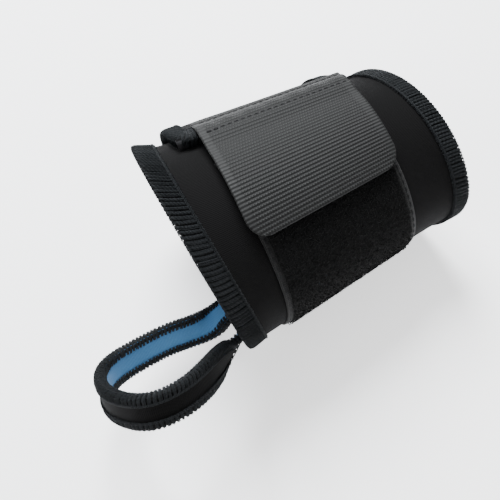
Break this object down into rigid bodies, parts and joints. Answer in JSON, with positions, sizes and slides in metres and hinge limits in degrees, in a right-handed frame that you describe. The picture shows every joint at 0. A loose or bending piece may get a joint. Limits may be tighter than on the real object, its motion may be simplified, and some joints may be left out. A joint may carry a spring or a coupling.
{
  "type": "wrist splint",
  "caption": "Neoprene wrist wrap with overlocked edges, tail strap with hook tab, loop pile panel, thumb loop and a removable palmar stay.",
  "frame": {"origin": "centre of the wrist channel at the middle of its length", "axes": "+X up the forearm, -X towards the fingers, +Z the back of the hand, -Y the thumb side of a right hand"},
  "size_m": [0.152, 0.1022, 0.0793],
  "materials": {
    "neoprene_foam": "matt",
    "knitted_lining": "matt knit",
    "jersey": "matt knit",
    "thread": "fine polyester thread",
    "woven_tab": "ribbed weave",
    "hook_plastic": "matt",
    "loop_pile": "brushed loops",
    "stay_metal": "satin",
    "tip_dip": "matt dip"
  },
  "bodies": {
    "wrap": {"panel_foam": "neoprene_foam", "panel_face": "jersey", "panel_lining": "knitted_lining", "distal_overlock": "thread", "proximal_overlock": "thread", "inner_end_overlock": "thread", "pile_backing": "loop_pile", "pile_loops": "loop_pile", "pile_stitching": "thread", "tail_root_strip": "jersey", "tail_seam_stitching_1": "thread", "tail_seam_stitching_2": "thread", "tail_seam_bead": "thread", "stay_pocket": "jersey", "pocket_stitching_1": "thread", "pocket_stitching_2": "thread", "loop_anchor_1": "jersey", "loop_anchor_2": "jersey", "loop_bartack_1": "thread", "loop_bartack_2": "thread"},
    "tail": {"tail_foam": "neoprene_foam", "tail_face": "jersey", "tail_lining": "knitted_lining", "tail_overlock": "thread", "tab_sewn_end": "woven_tab", "tab_stitch_row_1": "thread", "tab_stitch_row_2": "thread"},
    "tab": {"hook_tab": "woven_tab", "hook_field": "hook_plastic"},
    "thumb_loop": {"loop_strip": "neoprene_foam", "loop_lining": "knitted_lining", "loop_upper_overlock": "thread", "loop_lower_overlock": "thread"},
    "stay": {"palmar_stay": "stay_metal", "stay_tip_1": "tip_dip", "stay_tip_2": "tip_dip"}
  },
  "joints": [
    {"name": "tail_swing", "type": "hinge", "parent": "wrap", "child": "tail", "pos_m": [0.00125, 0.0235, -0.0262], "axis": [-0.9998, 0, -0.0203], "range_deg": [0, 90]},
    {"name": "tab_peel", "type": "hinge", "parent": "tail", "child": "tab", "pos_m": [0.00125, 0.01534, 0.03753], "axis": [-0.9968, 0.0348, 0.0716], "range_deg": [0, 80]},
    {"name": "loop_bend", "type": "hinge", "parent": "wrap", "child": "thumb_loop", "pos_m": [-0.04608, -0.02716, -0.01584], "axis": [-0.1523, -0.7435, 0.6512], "range_deg": [-35, 35], "stiffness_Nm_per_rad": 0.05},
    {"name": "stay_slide", "type": "slide", "parent": "wrap", "child": "stay", "axis": [1, 0, 0], "range_m": [0, 0.066]}
  ]
}
